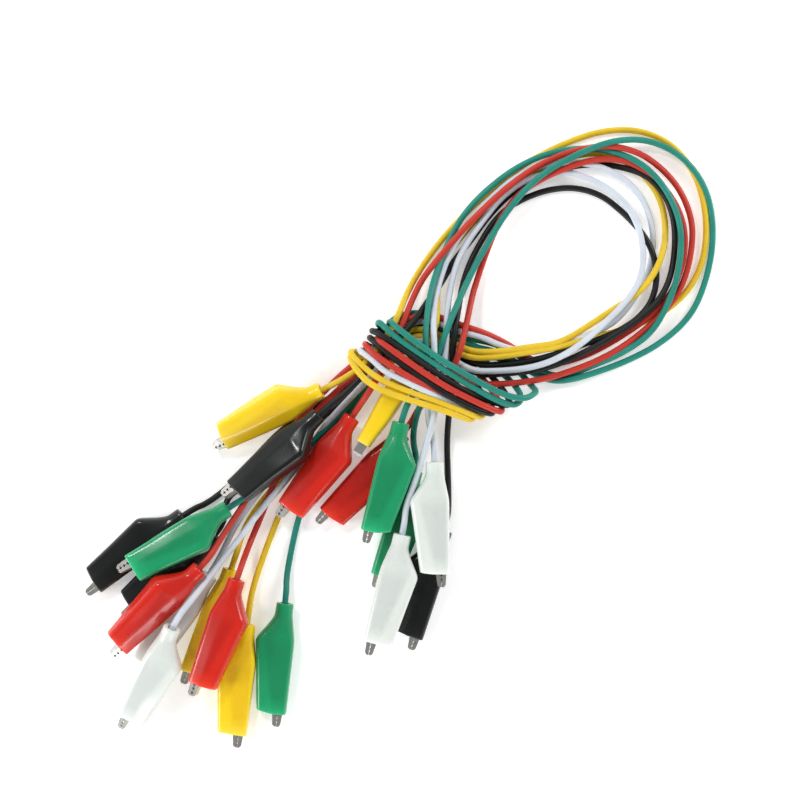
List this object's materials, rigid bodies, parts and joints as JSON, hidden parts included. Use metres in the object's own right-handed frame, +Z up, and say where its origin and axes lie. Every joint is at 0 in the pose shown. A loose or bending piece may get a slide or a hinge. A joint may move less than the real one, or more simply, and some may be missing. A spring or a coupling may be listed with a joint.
{
  "type": "alligator clip lead",
  "caption": "Bundle of coloured double-ended alligator clip test leads, looped and tied round with their own booted ends.",
  "frame": {"origin": "on the surface that the bundle lies on, under the middle of the box round all the clips (wires left out)", "axes": "+Z up from the surface; +Y from the fanned-out clips towards the wire loop; +X to the right with the fan at the lower left"},
  "size_m": [0.181, 0.1779, 0.0169],
  "materials": {
    "yellow_vinyl": "soft glossy vinyl",
    "yellow_wire": "satin PVC",
    "black_vinyl": "soft glossy vinyl",
    "black_wire": "satin PVC",
    "red_vinyl": "soft glossy vinyl",
    "red_wire": "satin PVC",
    "green_vinyl": "soft glossy vinyl",
    "green_wire": "satin PVC",
    "white_vinyl": "soft glossy vinyl",
    "white_wire": "satin PVC",
    "plated_steel": "bright nickel plate",
    "spring_steel": "plain spring wire",
    "copper": "bare copper"
  },
  "bodies": {
    "root": {"yellow_a_1_boot": "yellow_vinyl", "yellow_a_2_boot": "yellow_vinyl", "yellow_b_1_boot": "yellow_vinyl", "yellow_b_2_boot": "yellow_vinyl", "black_a_1_boot": "black_vinyl", "black_a_2_boot": "black_vinyl", "black_b_1_boot": "black_vinyl", "black_b_2_boot": "black_vinyl", "red_a_1_boot": "red_vinyl", "red_a_2_boot": "red_vinyl", "red_b_1_boot": "red_vinyl", "red_b_2_boot": "red_vinyl", "green_a_1_boot": "green_vinyl", "green_a_2_boot": "green_vinyl", "green_b_1_boot": "green_vinyl", "green_b_2_boot": "green_vinyl", "white_a_1_boot": "white_vinyl", "white_a_2_boot": "white_vinyl", "white_b_1_boot": "white_vinyl", "white_b_2_boot": "white_vinyl", "yellow_lower_jaws": "plated_steel", "black_lower_jaws": "plated_steel", "red_lower_jaws": "plated_steel", "green_lower_jaws": "plated_steel", "white_lower_jaws": "plated_steel", "pivot_rivets": "plated_steel", "jaw_springs": "spring_steel", "copper_strands": "copper", "yellow_a_wire": "yellow_wire", "yellow_b_wire": "yellow_wire", "black_a_wire": "black_wire", "black_b_wire": "black_wire", "red_a_wire": "red_wire", "red_b_wire": "red_wire", "green_a_wire": "green_wire", "green_b_wire": "green_wire", "white_a_wire": "white_wire", "white_b_wire": "white_wire"},
    "yellow_a_1_jaw": {"yellow_a_1_upper_jaw": "plated_steel"},
    "yellow_a_2_jaw": {"yellow_a_2_upper_jaw": "plated_steel"},
    "yellow_b_1_jaw": {"yellow_b_1_upper_jaw": "plated_steel"},
    "yellow_b_2_jaw": {"yellow_b_2_upper_jaw": "plated_steel"},
    "black_a_1_jaw": {"black_a_1_upper_jaw": "plated_steel"},
    "black_a_2_jaw": {"black_a_2_upper_jaw": "plated_steel"},
    "black_b_1_jaw": {"black_b_1_upper_jaw": "plated_steel"},
    "black_b_2_jaw": {"black_b_2_upper_jaw": "plated_steel"},
    "red_a_1_jaw": {"red_a_1_upper_jaw": "plated_steel"},
    "red_a_2_jaw": {"red_a_2_upper_jaw": "plated_steel"},
    "red_b_1_jaw": {"red_b_1_upper_jaw": "plated_steel"},
    "red_b_2_jaw": {"red_b_2_upper_jaw": "plated_steel"},
    "green_a_1_jaw": {"green_a_1_upper_jaw": "plated_steel"},
    "green_a_2_jaw": {"green_a_2_upper_jaw": "plated_steel"},
    "green_b_1_jaw": {"green_b_1_upper_jaw": "plated_steel"},
    "green_b_2_jaw": {"green_b_2_upper_jaw": "plated_steel"},
    "white_a_1_jaw": {"white_a_1_upper_jaw": "plated_steel"},
    "white_a_2_jaw": {"white_a_2_upper_jaw": "plated_steel"},
    "white_b_1_jaw": {"white_b_1_upper_jaw": "plated_steel"},
    "white_b_2_jaw": {"white_b_2_upper_jaw": "plated_steel"}
  },
  "joints": [
    {"name": "yellow_a_1_jaw_pivot", "type": "hinge", "parent": "root", "child": "yellow_a_1_jaw", "pos_m": [-0.00111, 0.03665, 0.00595], "axis": [-0.0928, 0.4402, -0.8931], "range_deg": [0, 16], "stiffness_Nm_per_rad": 0.08, "springref_deg": -28.65, "deforming": ["jaw_springs"]},
    {"name": "yellow_a_2_jaw_pivot", "type": "hinge", "parent": "root", "child": "yellow_a_2_jaw", "pos_m": [-0.00811, -0.04047, 0.00327], "axis": [0.0046, 0.0335, -0.9994], "range_deg": [0, 16], "stiffness_Nm_per_rad": 0.08, "springref_deg": -28.65},
    {"name": "yellow_b_1_jaw_pivot", "type": "hinge", "parent": "root", "child": "yellow_b_1_jaw", "pos_m": [0.03437, 0.04069, 0.00734], "axis": [0.8437, -0.5369, 0], "range_deg": [0, 16], "stiffness_Nm_per_rad": 0.08, "springref_deg": -28.65},
    {"name": "yellow_b_2_jaw_pivot", "type": "hinge", "parent": "root", "child": "yellow_b_2_jaw", "pos_m": [-0.01716, -0.02375, 0.00325], "axis": [-0.0119, -0.0328, 0.9994], "range_deg": [0, 16], "stiffness_Nm_per_rad": 0.08, "springref_deg": -28.65},
    {"name": "black_a_1_jaw_pivot", "type": "hinge", "parent": "root", "child": "black_a_1_jaw", "pos_m": [0.04483, -0.01297, 0.00327], "axis": [0.0108, 0.0323, -0.9994], "range_deg": [0, 16], "stiffness_Nm_per_rad": 0.08, "springref_deg": -28.65},
    {"name": "black_a_2_jaw_pivot", "type": "hinge", "parent": "root", "child": "black_a_2_jaw", "pos_m": [-0.039, -0.00232, 0.00328], "axis": [0.027, 0.0197, -0.9994], "range_deg": [0, 16], "stiffness_Nm_per_rad": 0.08, "springref_deg": -28.65},
    {"name": "black_b_1_jaw_pivot", "type": "hinge", "parent": "root", "child": "black_b_1_jaw", "pos_m": [0.00098, 0.02538, 0.01086], "axis": [-0.2708, 0.3036, 0.9135], "range_deg": [0, 16], "stiffness_Nm_per_rad": 0.08, "springref_deg": -28.65},
    {"name": "black_b_2_jaw_pivot", "type": "hinge", "parent": "root", "child": "black_b_2_jaw", "pos_m": [-0.02909, -0.00841, 0.00327], "axis": [0.0271, 0.0209, -0.9994], "range_deg": [0, 16], "stiffness_Nm_per_rad": 0.08, "springref_deg": -28.65},
    {"name": "red_a_1_jaw_pivot", "type": "hinge", "parent": "root", "child": "red_a_1_jaw", "pos_m": [0.01356, 0.02193, 0.00643], "axis": [-0.2328, 0.0867, 0.9686], "range_deg": [0, 16], "stiffness_Nm_per_rad": 0.08, "springref_deg": -28.65},
    {"name": "red_a_2_jaw_pivot", "type": "hinge", "parent": "root", "child": "red_a_2_jaw", "pos_m": [-0.01453, -0.02614, 0.0105], "axis": [-0.2094, 0.0286, 0.9774], "range_deg": [0, 16], "stiffness_Nm_per_rad": 0.08, "springref_deg": -28.65},
    {"name": "red_b_1_jaw_pivot", "type": "hinge", "parent": "root", "child": "red_b_1_jaw", "pos_m": [0.02619, 0.01869, 0.00326], "axis": [-0.0227, -0.0262, 0.9994], "range_deg": [0, 16], "stiffness_Nm_per_rad": 0.08, "springref_deg": -28.65},
    {"name": "red_b_2_jaw_pivot", "type": "hinge", "parent": "root", "child": "red_b_2_jaw", "pos_m": [-0.03225, -0.01837, 0.0109], "axis": [-0.2682, 0.3486, -0.8981], "range_deg": [0, 16], "stiffness_Nm_per_rad": 0.08, "springref_deg": -28.65},
    {"name": "green_a_1_jaw_pivot", "type": "hinge", "parent": "root", "child": "green_a_1_jaw", "pos_m": [0.03332, 0.0177, 0.01062], "axis": [-0.0035, -0.0146, 0.9999], "range_deg": [0, 16], "stiffness_Nm_per_rad": 0.08, "springref_deg": -28.65},
    {"name": "green_a_2_jaw_pivot", "type": "hinge", "parent": "root", "child": "green_a_2_jaw", "pos_m": [-0.0269, 0.00166, 0.01037], "axis": [0.0447, 0.1928, 0.9802], "range_deg": [0, 16], "stiffness_Nm_per_rad": 0.08, "springref_deg": -28.65},
    {"name": "green_b_1_jaw_pivot", "type": "hinge", "parent": "root", "child": "green_b_1_jaw", "pos_m": [0.03651, 0.00421, 0.00326], "axis": [-0.0094, -0.0333, 0.9994], "range_deg": [0, 16], "stiffness_Nm_per_rad": 0.08, "springref_deg": -28.65},
    {"name": "green_b_2_jaw_pivot", "type": "hinge", "parent": "root", "child": "green_b_2_jaw", "pos_m": [0.00295, -0.03449, 0.00327], "axis": [0.0043, 0.0338, -0.9994], "range_deg": [0, 16], "stiffness_Nm_per_rad": 0.08, "springref_deg": -28.65},
    {"name": "white_a_1_jaw_pivot", "type": "hinge", "parent": "root", "child": "white_a_1_jaw", "pos_m": [0.04795, 0.0059, 0.01043], "axis": [0, 0.0089, -1], "range_deg": [0, 16], "stiffness_Nm_per_rad": 0.08, "springref_deg": -28.65},
    {"name": "white_a_2_jaw_pivot", "type": "hinge", "parent": "root", "child": "white_a_2_jaw", "pos_m": [-0.02712, -0.02321, 0.00326], "axis": [0.0203, 0.0281, -0.9994], "range_deg": [0, 16], "stiffness_Nm_per_rad": 0.08, "springref_deg": -28.65},
    {"name": "white_b_1_jaw_pivot", "type": "hinge", "parent": "root", "child": "white_b_1_jaw", "pos_m": [0.0339, -0.01404, 0.01002], "axis": [-0.0081, -0.0356, 0.9993], "range_deg": [0, 16], "stiffness_Nm_per_rad": 0.08, "springref_deg": -28.65},
    {"name": "white_b_2_jaw_pivot", "type": "hinge", "parent": "root", "child": "white_b_2_jaw", "pos_m": [-0.034, -0.03767, 0.00837], "axis": [-0.1393, -0.3005, 0.9436], "range_deg": [0, 16], "stiffness_Nm_per_rad": 0.08, "springref_deg": -28.65}
  ]
}
